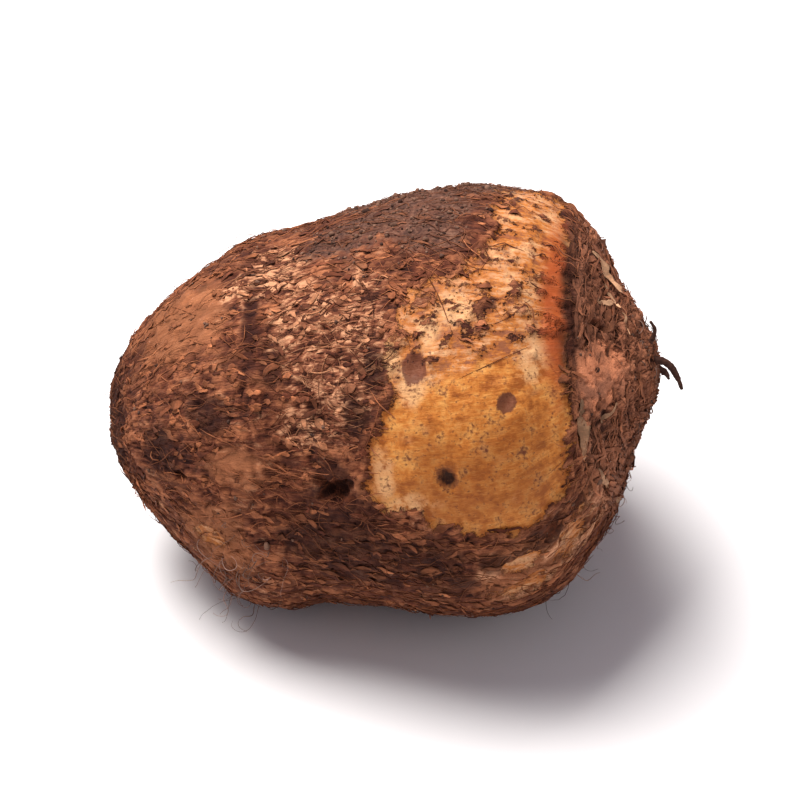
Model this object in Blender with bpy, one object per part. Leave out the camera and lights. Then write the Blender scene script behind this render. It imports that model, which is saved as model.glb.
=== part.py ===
"""A taro root (an eddoe corm) lying on its side with its crown end towards +X. Blender 4.5, metres, +Z up."""

import math

import bmesh
import bpy
import numpy as np

MM = 0.001

# Driving dimensions, in millimetres and degrees.
AXIS_RISE = 10.5  # the crown end is thicker, so the axis climbs towards it
FOOT_DEPTH = 0.5  # how much of the underside is pressed flat
SEGMENTS = 60  # faces round the axis
RINGS = 44  # faces from the root tip to the crown
NUB_LIFT = 3.2  # the crown's nub sits above the middle of the crown
NUB_FROM = 54.0  # station where the lift begins
RELIEF_FADE = 8.0  # the relief fades out where the radius is less than this

# Outline of the corm: station along the axis from the root tip, and radius there.
OUTLINE = (
    (0.0, 0.0),
    (1.0, 5.4),
    (5.0, 11.6),
    (11.8, 17.8),
    (21.0, 22.8),
    (32.0, 25.2),
    (43.0, 27.4),
    (52.5, 27.0),
    (59.5, 23.8),
    (64.2, 18.2),
    (67.6, 10.6),
    (70.8, 4.8),
    (72.0, 0.0),
)
CURVE_STEPS = 24  # points of the smooth outline between two of its stations

# Waves of the surface: height, lobes round the axis, their phase, wavelength along the axis, its phase.
WAVES = (
    (0.55, 2, 0.4, 160.0, 0.3),
    (0.45, 3, 1.9, 90.0, 1.0),
    (0.30, 5, 4.1, 46.0, 2.2),
    (0.25, 4, 0.7, 31.0, 5.1),
)

# Furrows round the axis: station, depth, half width, and where round the axis they are deepest.
FURROWS = (
    (26.5, 0.7, 3.2, 0.0),
    (60.5, 0.5, 1.6, 60.0),
)

# Swellings: station, angle round the axis, height, half width along the axis and round it.
SWELLINGS = (
    (16.0, 138.0, 2.6, 8.0, 38.0),
    (62.0, -42.0, 1.2, 5.0, 40.0),
)

# Dried rootlets of the crown: points in millimetres from the tip of the nub, +X away from the corm,
# and the radius at each point.
ROOTLETS = (
    ((-2.6, -0.6, 0.9, 0.80), (-0.2, -0.7, 1.3, 0.62), (1.5, -0.9, 0.9, 0.52), (2.6, -1.2, -0.9, 0.42),
     (3.3, -1.5, -2.7, 0.26)),
    ((-2.6, 0.8, -1.0, 0.70), (-0.3, 1.0, -1.5, 0.55), (1.1, 1.2, -2.6, 0.40), (1.5, 1.3, -3.6, 0.25)),
    ((-3.4, -0.2, 2.2, 0.70), (-1.2, 0.2, 3.4, 0.50), (-0.6, 0.5, 5.2, 0.36), (-1.2, 0.6, 6.6, 0.22)),
)
ROOTLET_ROUND = 1  # extra points round a rootlet's section
ROOTLET_REACH = 3.42  # how far the rootlets stand out past the nub

SKIN_COLOUR = (0.187, 0.073, 0.035, 1.0)
SKIN_ROUGHNESS = 0.86


def smooth_outline(shares):
    """Station and radius at shares of the outline's length: a Catmull-Rom curve, square on the axis at its ends."""
    before = (OUTLINE[1][0], -OUTLINE[1][1])
    after = (OUTLINE[-2][0], -OUTLINE[-2][1])
    points = np.array([before] + list(OUTLINE) + [after])
    t = np.linspace(0, 1, CURVE_STEPS, endpoint=False)[:, None]
    fine = []
    for a, b, c, d in zip(points, points[1:], points[2:], points[3:]):
        cubic = (3 * b - a - 3 * c + d) * t**3
        fine.append(0.5 * (2 * b + (c - a) * t + (2 * a - 5 * b + 4 * c - d) * t**2 + cubic))
    fine = np.vstack(fine + [points[-2:-1]])
    steps = np.linalg.norm(np.diff(fine, axis=0), axis=1)
    length = np.concatenate([[0], np.cumsum(steps)])
    at = shares * length[-1]
    return np.interp(at, length, fine[:, 0]), np.maximum(np.interp(at, length, fine[:, 1]), 0)


def relief(station, angle):
    """Height of the lumps over the plain outline. angle is 0 on top and grows towards -Y."""
    height = np.zeros_like(station)
    for size, lobes, turn, wavelength, shift in WAVES:
        along = np.cos(2 * np.pi * station / wavelength + shift)
        height += size * np.cos(lobes * angle + turn) * along
    for centre, depth, half_width, deepest in FURROWS:
        share = 0.6 + 0.4 * np.cos(angle - math.radians(deepest))
        height -= depth * share * np.exp(-(((station - centre) / half_width) ** 2))
    for centre, turn, size, half_length, half_turn in SWELLINGS:
        away = (angle - math.radians(turn) + math.pi) % (2 * math.pi) - math.pi
        away = np.degrees(away) / half_turn
        height += size * np.exp(-(((station - centre) / half_length) ** 2) - away**2)
    return height


def corm_points(shares, angle):
    """Points of the corm's surface in millimetres, by share of the outline's length and angle round the axis."""
    station, radius = smooth_outline(shares)
    radius = radius + relief(station, angle) * np.minimum(radius / RELIEF_FADE, 1.0)
    up = radius * np.cos(angle)
    out = radius * np.sin(angle)
    past = np.clip((station - NUB_FROM) / (OUTLINE[-1][0] - NUB_FROM), 0, 1)
    up = up + NUB_LIFT * past * past * (3 - 2 * past)
    rise = math.radians(AXIS_RISE)
    x = station * math.cos(rise) - up * math.sin(rise)
    z = station * math.sin(rise) + up * math.cos(rise)
    return np.stack([x, -out, z], axis=1)


def clear_scene():
    """An empty scene."""
    for obj in list(bpy.data.objects):
        bpy.data.objects.remove(obj)


def skin_material():
    """Dry brown skin."""
    material = bpy.data.materials.new("taro_skin")
    material.use_nodes = True
    shader = material.node_tree.nodes["Principled BSDF"]
    shader.inputs["Base Color"].default_value = SKIN_COLOUR
    shader.inputs["Roughness"].default_value = SKIN_ROUGHNESS
    shader.inputs["Metallic"].default_value = 0.0
    return material


def press_flat(shape):
    """Cut away what is under the ground plane and close the cut with one flat face."""
    whole = shape.verts[:] + shape.edges[:] + shape.faces[:]
    cut = bmesh.ops.bisect_plane(
        shape, geom=whole, dist=1e-7, plane_co=(0, 0, 0), plane_no=(0, 0, -1), clear_outer=True
    )
    rim = [e for e in cut["geom_cut"] if isinstance(e, bmesh.types.BMEdge)]
    bmesh.ops.contextual_create(shape, geom=rim)
    bmesh.ops.recalc_face_normals(shape, faces=shape.faces[:])


def make_corm(collection):
    """A UV sphere whose poles become the root tip and the crown. Also returns where the nub's tip is."""
    shape = bmesh.new()
    bmesh.ops.create_uvsphere(shape, u_segments=SEGMENTS, v_segments=RINGS, radius=1)
    ball = np.array([v.co for v in shape.verts])
    shares = 1 - np.arccos(np.clip(ball[:, 2], -1, 1)) / np.pi
    angle = np.arctan2(ball[:, 1], ball[:, 0])
    points = corm_points(shares, angle)
    points[:, 2] -= points[:, 2].min() + FOOT_DEPTH
    points[:, :2] -= (points[:, :2].min(axis=0) + points[:, :2].max(axis=0)) / 2
    points[:, 0] -= ROOTLET_REACH / 2
    nub = points[shares.argmax()]
    for vertex, point in zip(shape.verts, points):
        vertex.co = point * MM
    press_flat(shape)
    mesh = bpy.data.meshes.new("taro_corm")
    shape.to_mesh(mesh)
    shape.free()
    mesh.shade_smooth()
    corm = bpy.data.objects.new("taro_corm", mesh)
    collection.objects.link(corm)
    return corm, nub


def make_rootlet(collection, nub, path):
    """A tapering, bent strand along a path, as a closed mesh."""
    curve = bpy.data.curves.new("rootlet", "CURVE")
    curve.dimensions = "3D"
    curve.bevel_depth = 1.0
    curve.bevel_resolution = ROOTLET_ROUND
    curve.use_fill_caps = True
    curve.resolution_u = 3
    spline = curve.splines.new("NURBS")
    spline.points.add(len(path) - 1)
    spline.use_endpoint_u = True
    spline.order_u = 4
    for point, (x, y, z, radius) in zip(spline.points, path):
        point.co = ((nub[0] + x) * MM, (nub[1] + y) * MM, (nub[2] + z) * MM, 1)
        point.radius = radius * MM
    holder = bpy.data.objects.new("rootlet_curve", curve)
    collection.objects.link(holder)
    graph = bpy.context.evaluated_depsgraph_get()
    mesh = bpy.data.meshes.new_from_object(holder.evaluated_get(graph))
    bpy.data.objects.remove(holder)
    shape = bmesh.new()
    shape.from_mesh(mesh)
    bmesh.ops.remove_doubles(shape, verts=shape.verts[:], dist=1e-7)
    bmesh.ops.recalc_face_normals(shape, faces=shape.faces[:])
    shape.to_mesh(mesh)
    shape.free()
    rootlet = bpy.data.objects.new("rootlet", mesh)
    rootlet.hide_render = True
    rootlet.display_type = "WIRE"
    collection.objects.link(rootlet)
    return rootlet


def join(corm, rootlet):
    """Grow a rootlet out of the corm: one solid."""
    union = corm.modifiers.new("grow_" + rootlet.name, "BOOLEAN")
    union.operation = "UNION"
    union.solver = "EXACT"
    union.object = rootlet


def main():
    clear_scene()
    collection = bpy.data.collections.new("taro_root")
    cutters = bpy.data.collections.new("joined_shapes")
    for each in (collection, cutters):
        bpy.context.scene.collection.children.link(each)
    corm, nub = make_corm(collection)
    corm.data.materials.append(skin_material())
    for path in ROOTLETS:
        join(corm, make_rootlet(cutters, nub, path))


main()
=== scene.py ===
import itertools
import math

import bpy
import numpy as np
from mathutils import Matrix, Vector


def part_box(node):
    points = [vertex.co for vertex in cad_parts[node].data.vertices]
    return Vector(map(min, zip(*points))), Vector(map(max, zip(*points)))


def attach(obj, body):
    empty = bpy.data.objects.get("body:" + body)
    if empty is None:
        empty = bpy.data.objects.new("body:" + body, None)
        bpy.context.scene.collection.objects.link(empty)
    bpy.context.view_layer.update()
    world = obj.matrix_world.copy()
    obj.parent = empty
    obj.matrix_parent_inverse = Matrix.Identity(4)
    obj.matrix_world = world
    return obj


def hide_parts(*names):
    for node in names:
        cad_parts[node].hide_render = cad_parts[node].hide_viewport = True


# A taro root lying on its side: rough brown bark with a rubbed tan patch, and dried rootlets at the crown.
# Lengths in the dictionaries are millimetres unless a line says otherwise. Station is the distance along
# the corm from its root tip; angle is round the corm, 0 on top and 90 at its front (-Y) side.

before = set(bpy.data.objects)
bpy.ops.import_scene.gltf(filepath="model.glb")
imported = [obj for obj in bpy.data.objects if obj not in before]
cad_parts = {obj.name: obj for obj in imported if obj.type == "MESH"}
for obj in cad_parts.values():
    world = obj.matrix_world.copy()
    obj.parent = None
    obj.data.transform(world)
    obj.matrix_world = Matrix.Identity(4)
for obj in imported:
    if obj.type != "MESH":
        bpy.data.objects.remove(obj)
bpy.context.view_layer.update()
cadLow, cadHigh = (np.array(corner) * 1000 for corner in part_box("taro_corm"))
print("frame loaded")

mm = 0.001


def fromDisplay(red, green, blue):
    # linear colour from display values of 0 to 255
    level = np.array([red, green, blue]) / 255
    return np.where(level <= 0.04045, level / 12.92, ((level + 0.055) / 1.055) ** 2.4)


def smoothStep(low, high, value):
    # 0 below low, 1 above high, and an S curve between
    share = np.clip((value - low) / (high - low), 0, 1)
    return share * share * (3 - 2 * share)


bitMixers = {"axes": (73856093, 19349663, 83492791), "seed": 2654435761, "rounds": (2246822519, 3266489917)}


def latticeNumber(cell, seed):
    # a number from 0 to 1 for each whole-number lattice point, by multiplying its coordinates by large
    # odd numbers and folding the bits of the products together
    whole = cell.astype(np.int64).astype(np.uint64)
    across, deep, high = (whole[..., axis] * np.uint64(by) for axis, by in enumerate(bitMixers["axes"]))
    lowBits = np.uint64(0xFFFFFFFF)
    mixed = ((across ^ deep ^ high) + np.uint64(seed) * np.uint64(bitMixers["seed"])) & lowBits
    for by, shift in zip(bitMixers["rounds"], (15, 13)):
        mixed = (mixed ^ (mixed >> np.uint64(shift))) * np.uint64(by) & lowBits
    return (mixed ^ (mixed >> np.uint64(16))).astype(float) / float(lowBits)


slopeTable = np.random.default_rng(11).normal(size=(256, 3))
slopeTable /= np.linalg.norm(slopeTable, axis=1, keepdims=True)


def softNoise(points, seed):
    # gradient noise of about -1 to 1: a random slope at each lattice point, blended smoothly across the cell
    cell = np.floor(points)
    inside = points - cell
    weight = inside**3 * (inside * (inside * 6 - 15) + 10)
    total = np.zeros(points.shape[:-1])
    for corner in itertools.product((0.0, 1.0), repeat=3):
        step = np.array(corner)
        slope = slopeTable[(latticeNumber(cell + step, seed) * 255.99).astype(int)]
        share = np.prod(np.where(step > 0, weight, 1 - weight), axis=-1)
        total += share * ((inside - step) * slope).sum(axis=-1)
    return total * 1.7


def layeredNoise(points, seed, layers=3):
    # soft noise, plus itself at twice the frequency and half the height, and so on
    total = np.zeros(points.shape[:-1])
    for layer in range(layers):
        total += softNoise(points * 2.03**layer, seed + layer) * 0.5**layer
    return total / 1.6


def cellNoise(points, seed):
    # one random point in each lattice cell: distances to the nearest and the second nearest of them,
    # and the nearest's own number
    cell = np.floor(points)
    nearest = np.full(points.shape[:-1], 9.0)
    second = nearest.copy()
    own = np.zeros(points.shape[:-1])
    for step in itertools.product((-1.0, 0.0, 1.0), repeat=3):
        at = cell + np.array(step)
        spot = at + np.stack([latticeNumber(at, seed + turn) for turn in range(3)], axis=-1)
        away = np.linalg.norm(points - spot, axis=-1)
        closer = away < nearest
        second = np.where(closer, nearest, np.minimum(second, away))
        own = np.where(closer, latticeNumber(at, seed + 3), own)
        nearest = np.where(closer, away, nearest)
    return nearest, second, own


corm = {
    "axisRise": 10.5,  # degrees that the axis climbs towards the crown
    "footDepth": 0.5,  # how much of the underside is pressed flat
    "nubLift": 3.2,  # how far the nub stands above the axis
    "nubFrom": 54,  # station where that lift begins
    "fade": 8,  # relief fades out where the radius is less than this
    "outline": (
        (0, 0), (1, 5.4), (5, 11.6), (11.8, 17.8), (21, 22.8), (32, 25.2), (43, 27.4),
        (52.5, 27), (59.5, 23.8), (64.2, 18.2), (67.6, 10.6), (70.8, 4.8), (72, 0),
    ),  # station and radius
    "waves": (
        (0.55, 2, 0.4, 160, 0.3), (0.45, 3, 1.9, 90, 1),
        (0.30, 5, 4.1, 46, 2.2), (0.25, 4, 0.7, 31, 5.1),
    ),  # height, lobes round, their phase, wavelength along, its phase
    "furrows": ((26.5, 0.7, 3.2, 0), (60.5, 0.5, 1.6, 60)),  # station, depth, half width, deepest angle
    "swellings": (
        (16, 138, 2.6, 8, 38), (62, -42, 1.2, 5, 40),
    ),  # station, angle, height, half length, half turn in degrees
}  # the same shape as the CAD part's


def curveBetween(a, b, c, d, t):
    # Catmull-Rom curve: a cubic from b to c whose slopes at its ends are half of c - a and of d - b
    return 0.5 * (2 * b + (c - a) * t + (2 * a - 5 * b + 4 * c - d) * t**2 + (3 * b - a - 3 * c + d) * t**3)


def smoothOutline(share):
    # a smooth curve through the outline, read by share of its length: station and radius
    points = np.array(corm["outline"])
    points = np.vstack([points[1] * (1, -1), points, points[-2] * (1, -1)])
    t = np.linspace(0, 1, 24, endpoint=False)[:, None]
    runs = [curveBetween(*four, t) for four in zip(points, points[1:], points[2:], points[3:])]
    fine = np.vstack(runs + [points[-2:-1]])
    length = np.concatenate([[0], np.cumsum(np.linalg.norm(np.diff(fine, axis=0), axis=1))])
    at = share * length[-1]
    return np.interp(at, length, fine[:, 0]), np.maximum(np.interp(at, length, fine[:, 1]), 0)


def turnsFrom(angle, degrees):
    # signed angle from a direction, in radians
    return (angle - math.radians(degrees) + math.pi) % (2 * math.pi) - math.pi


def plainRelief(station, angle):
    # cosine waves along and round the axis, less ring furrows, plus rounded swellings
    height = np.zeros_like(station)
    for size, lobes, turn, wavelength, shift in corm["waves"]:
        height += size * np.cos(lobes * angle + turn) * np.cos(2 * np.pi * station / wavelength + shift)
    for centre, depth, halfWidth, deepest in corm["furrows"]:
        share = 0.6 + 0.4 * np.cos(angle - math.radians(deepest))
        height -= depth * share * np.exp(-(((station - centre) / halfWidth) ** 2))
    for centre, turn, size, halfLength, halfTurn in corm["swellings"]:
        away = np.degrees(turnsFrom(angle, turn)) / halfTurn
        height += size * np.exp(-(((station - centre) / halfLength) ** 2) - away**2)
    return height


def onAxis(station, radius, angle):
    # a point at that radius and angle round the axis, which climbs towards the crown and lifts at the nub
    last = corm["outline"][-1][0]
    lift = corm["nubLift"] * smoothStep(corm["nubFrom"], last, station)
    up, out = radius * np.cos(angle) + lift, radius * np.sin(angle)
    rise = math.radians(corm["axisRise"])
    x = station * math.cos(rise) - up * math.sin(rise)
    z = station * math.sin(rise) + up * math.cos(rise)
    return np.stack([x, -out, z], axis=-1)


grid = {"along": 340, "around": 292}  # points of the skin's grid: under 200,000 triangles
shareLine = np.linspace(0, 1, grid["along"])
angleLine = np.linspace(-np.pi, np.pi, grid["around"], endpoint=False)
gridShare, gridAngle = np.meshgrid(shareLine, angleLine, indexing="ij")
gridStation, gridRadius = smoothOutline(gridShare)
plainFade = np.minimum(gridRadius / corm["fade"], 1.0)
plainRadius = gridRadius + plainRelief(gridStation, gridAngle) * plainFade
plainPoints = onAxis(gridStation, plainRadius, gridAngle)
cormShift = np.array([
    cadLow[0] - plainPoints[..., 0].min(),
    (cadLow[1] + cadHigh[1] - plainPoints[..., 1].min() - plainPoints[..., 1].max()) / 2,
    -plainPoints[..., 2].min() - corm["footDepth"],
])


wrapping = {
    "girth": 25.0,  # radius of the cylinder that patterns are wrapped on
    "crownGirth": 18.0,  # its radius where the crown begins
    "crownFrom": 63.4,  # station
    "tipTo": 5.0,  # station up to which the cylinder narrows to the root tip
    "least": 0.02,  # least share of the radius, squared
    "scallops": ((0.5, 3, 1.0), (0.35, 7, 0.0), (0.2, 17, 0.0)),  # of the crown's edge: height, lobes, turn
}


def wrapped(station, angle):
    # coordinates for patterns: the station, and the sine and cosine of the angle times a radius, so that no
    # seam shows; the radius falls as a square root towards the crown's face and the root tip
    last = corm["outline"][-1][0]
    shoulder = wrapping["crownFrom"] + 0.2
    for height, lobes, turn in wrapping["scallops"]:
        shoulder = shoulder + height * np.sin(lobes * angle + turn)
    narrow = np.sqrt(np.clip((last - station) / (last - wrapping["crownFrom"]), wrapping["least"], 1))
    radius = np.where(station > shoulder, wrapping["crownGirth"] * narrow, wrapping["girth"])
    radius = radius * np.sqrt(np.clip(station / wrapping["tipTo"], wrapping["least"], 1))
    return np.stack([station, radius * np.sin(angle), radius * np.cos(angle)], axis=-1)


def blot(station, angle, centre, degrees, halfLength, halfTurn, edge=0.5):
    # 1 inside an ellipse on the skin, falling to 0 over a soft edge; halfTurn is in degrees
    away = np.hypot((station - centre) / halfLength, np.degrees(turnsFrom(angle, degrees)) / halfTurn)
    return 1 - smoothStep(1 - edge, 1 + edge, away)


def insideLoop(station, angle, loop):
    # signed distance in millimetres to a closed outline drawn on the unrolled skin, positive inside
    middle = marks["loopMiddle"]
    x, y = station, (turnsFrom(angle, middle) + math.radians(middle)) * wrapping["girth"]
    corners = np.array(loop) * (1, math.radians(1) * wrapping["girth"])
    nearest, odd = np.full(x.shape, 1e9), np.zeros(x.shape, bool)
    for (ax, ay), (bx, by) in zip(corners, np.roll(corners, -1, axis=0)):
        ex, ey = bx - ax, by - ay
        t = np.clip(((x - ax) * ex + (y - ay) * ey) / (ex * ex + ey * ey), 0, 1)
        nearest = np.minimum(nearest, np.hypot(x - ax - t * ex, y - ay - t * ey))
        crosses = ((ay > y) != (by > y)) & (x < ax + ex * (y - ay) / (ey if ey else 1e-9))
        odd ^= crosses
    return np.where(odd, nearest, -nearest)


marks = {
    "loopMiddle": 40,  # degrees round which the two outlines below lie
    "core": (
        (37.7, 60), (40, 52), (42.9, 45), (47.8, 43), (52, 40), (57.3, 38), (60.6, 39), (63, 46),
        (63.4, 60), (63.2, 72), (62.2, 85), (59.2, 89), (55.4, 90), (49.5, 88), (45.4, 84), (42.8, 79),
        (38.6, 79), (36.9, 70),
    ),  # outline of the bare tan patch: station and degrees
    "worn": (
        (42.6, 50), (42.2, 35), (42.8, 22), (44.4, 18), (46, 20), (48, 12), (49.8, 15), (51.4, 9), (53.6, 6),
        (54.3, -10), (53.4, -26), (55.5, -42), (61.5, -44), (62.5, -9), (63.2, 20), (63.4, 52), (53, 50),
    ),  # outline of the worn skin above it, where scraps of bark are left on
    "rings": (8.3, 15.6, 22.8, 30.6, 38.6, 46.8, 54.6, 60.6),  # growth rings: stations
    "stripe": (62.5, 19, 1.75, 30),  # orange scar at the crown's shoulder
    "nub": (66.8, 48, 2.6, 19),
}  # the stripe and the nub are blots, as below
blots = {
    "soil": ((45, -10, 7.5, 15), (36, -9, 7, 10), (44, -34, 12, 18), (47, -66, 11, 26)),
    "fleck": (
        (25, -1, 5, 15), (30.5, 24, 5, 15), (33.8, 44, 4.6, 14), (39, 27, 3, 13),
        (29.5, 53, 2.6, 7), (28, 205, 8, 30), (40, -140, 6, 20),
    ),
    "ochre": (
        (12.5, 5, 5.5, 22), (17, 14, 3, 12), (16, 97, 4.4, 14), (20, 66, 3.6, 8),
        (55, 106, 8, 12), (65.5, 104, 2.4, 24), (20, -120, 8, 30), (26, 165, 8, 24),
    ),
    "dark": (
        (64.5, 22, 1, 34), (17, 46, 3, 9), (9.5, 62, 2.6, 11), (23.6, 18, 1.2, 14),
        (26.4, 35, 1.6, 6), (33, 68, 2.6, 6), (32, 91, 8, 20), (43, 97, 7, 9),
        (1.5, 30, 2, 120), (58.4, 96.5, 2.4, 5), (51.2, 99, 2, 4.5), (47, 105, 2.2, 4.5),
        (55.6, 100, 1.6, 3), (37, 53, 1.8, 7), (66, 77, 1, 8), (66.4, 20, 1.6, 14),
        (50, -112, 7, 18), (13, -64, 4, 16), (34, 170, 5, 14), (40, 40, 1.4, 6),
    ),
    "pale": (
        (54.4, 114, 4, 4), (59, 104, 2, 4), (30.4, 54, 1.3, 3), (61, 112, 2.4, 10),
        (34.5, 47, 1.4, 4), (50, 104, 1.4, 3), (26, 3, 2.6, 6), (64.2, 108, 0.9, 14),
    ),
    "deep": ((50, 74, 7, 12), (46.5, 63, 3, 6), (56, 62, 4, 8), (57.5, 78, 3, 8)),
    "cream": (
        (39.6, 68, 1.5, 7), (42.6, 77.5, 3, 3.4), (44.6, 46, 1.8, 3.6), (42, 37, 1.5, 4),
        (50.4, 25, 2.2, 5), (47, 31, 1.6, 5), (59.4, 40, 1.6, 8),
    ),
}  # uneven areas of each kind of skin: station, degrees, half length, half turn in degrees
eyes = ((45.1, 40, 1.35, 3.5), (56.3, 51, 1, 2.4))  # round eyes of the patch, as blots
bareSpots = (
    (61, 107, 3, 13), (54.2, 114, 4.4, 5), (55, 103, 3, 5), (14.5, 98, 2.4, 6),
    (30, -150, 6, 16), (52, -95, 5, 14), (60, 200, 4, 16),
)  # small rubbed places away from the patch, as blots
pits = (
    (33.3, 73, 1.9, 1.9), (31.6, 74.5, 1.1, 1.2), (34.9, 70.6, 1, 0.9), (31.2, 70, 0.9, 0.7),
    (45.1, 40, 1.5, 0.3), (47.9, 70, 1.6, 0.9), (56.3, 51, 1.1, 0.3), (52.6, 29, 1.2, 0.25),
    (66.1, 22, 1.5, 1), (41, -140, 1.5, 0.9), (24, -60, 1.2, 0.6), (12, 72, 1.2, 0.5),
    (59, 96, 1.5, 0.5),
)  # eye pits and holes: station, degrees, radius, depth
edges = {
    "wander": 4.5,  # size of the slow noise that bends every edge
    "fray": (2.6, 1.3, 1.3),  # size of the finer one, along and across
    "lumpy": ((2.1, 1.4, 1.4), 0.8),  # sizes of the two that leave scraps of bark
    "coreBend": (1.5, 0.8), "wornBend": (1.8, 0.8), "blotBend": (0.5, 0.4),  # how far wander and fray move each
    "blotSoft": 0.75, "bareSoft": 0.7, "eyeSoft": 0.35,  # softness of a blot's edge, of 1
    "crown": (63.2, 64.4),  # stations over which the crown begins
    "under": (92, 150),  # degrees over which the underside's darker skin and painted shade begin
}


def mostOf(station, angle, spots, edge):
    # the greatest of several blots at each point
    return np.max([blot(station, angle, *spot, edge=edge) for spot in spots], axis=0)


def zones(station, angle):
    # how much of each kind of skin there is at a point, from 0 to 1: blots and outlines whose edges are moved
    # by noise; patch is a signed distance in millimetres to the edge of the bare skin
    at = wrapped(station, angle)
    wander = layeredNoise(at / edges["wander"], 101)
    fray = layeredNoise(at / edges["fray"], 107)
    lumpy = layeredNoise(at / edges["lumpy"][0], 113) + 0.4 * layeredNoise(at / edges["lumpy"][1], 117, 2)
    core, worn = (
        insideLoop(station, angle, marks[name]) + wander * slow + fray * quick
        for name, (slow, quick) in (("core", edges["coreBend"]), ("worn", edges["wornBend"]))
    )
    core = core - 1.7 * np.maximum(lumpy, 0) * np.exp(-((core / 1.6) ** 2))  # bark bites into the patch's rim
    left = 0.32 + 0.2 * smoothStep(20, -10, np.degrees(angle)) + 0.8 * smoothStep(-3.0, 0.0, core)
    patchy = np.minimum(worn, left + 1.6 * lumpy)  # scraps of bark left on the worn skin
    rubbed = mostOf(station, angle, bareSpots, edges["bareSoft"])
    found = {"patch": np.maximum(np.maximum(core, patchy), 1.9 * rubbed - 1.5 + 1.3 * lumpy)}
    found["worn"] = smoothStep(-0.5, 0.8, np.maximum(worn, 2 * rubbed - 0.6))
    found["worn"] *= 1 - smoothStep(-0.6, 0.9, core)
    slow, quick = edges["blotBend"]
    for name, spots in blots.items():
        most = mostOf(station, angle, spots, edges["blotSoft"])
        found[name] = smoothStep(0.1, 0.9, most + slow * wander + quick * fray)
    found["disc"] = np.clip(mostOf(station, angle, eyes, edges["eyeSoft"]) * (1 + 0.5 * fray), 0, 1)
    scar = blot(station, angle, *marks["stripe"], edge=edges["blotSoft"])
    found["stripe"] = np.clip(scar * 1.3 + 0.2 * fray, 0, 1)
    found["nub"] = smoothStep(0.3, 0.7, blot(station, angle, *marks["nub"]) + 0.25 * fray)
    found["crown"] = smoothStep(*edges["crown"], station + wander * 0.6)
    found["pit"] = np.zeros_like(station)
    for centre, degrees, radius, depth in pits:
        away = np.hypot(station - centre, turnsFrom(angle, degrees) * wrapping["girth"]) / radius
        hole = 1 - smoothStep(0.25, 1.2, away * (1 + 0.45 * fray))
        found["pit"] = np.maximum(found["pit"], hole * min(depth, 1))
    # the underside is darkened: partly its own darker skin, partly painted shade
    found["under"] = smoothStep(*edges["under"], np.abs(np.degrees(angle)) + wander * 10)
    return found


bumps = {
    "ridge": (0.13, (3.6, 1.15, 1.15)),
    "fine": (0.07, (1.9, 0.62, 0.62)),
    "scale": (0.20, (2.3, 1.15, 1.15)),
    "smallScale": (0.45, (1.2, 0.7, 0.7)),  # as a share of the scales
    "lump": (0.34, 4.2),
    "crack": (0.26, (5.5, 1.9, 1.9)),
    "clod": (0.50, 1.3),
    "smallClod": (0.5, 0.7),  # as a share of the clods
    "bareSwell": (0.16, 3.2),
    "dent": (0.12, 2.6),
}  # height in millimetres, and the pattern's size: one number, or along the streaks and across them
bareGrain = (0.05, (1.8, 0.6, 0.6))  # the same for the bare skin's grain, which runs straight along the corm
steps = {
    "fleckScale": 0.16,  # how much higher scales are in the flecks
    "ringLip": 0.12, "ringGroove": 0.30,
    "leafScar": 0.55, "leafPitch": 1.25, "leafFrom": 62.6,  # rings of leaf scars on the crown
    "bareDepth": 0.34,  # how far the bare skin lies below the bark
    "rimCurl": 0.16,
    "pitLip": 0.08,
    "climb": 0.35, "climbAngle": 0.7,  # the streaks climb a little as they run along
}


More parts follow.
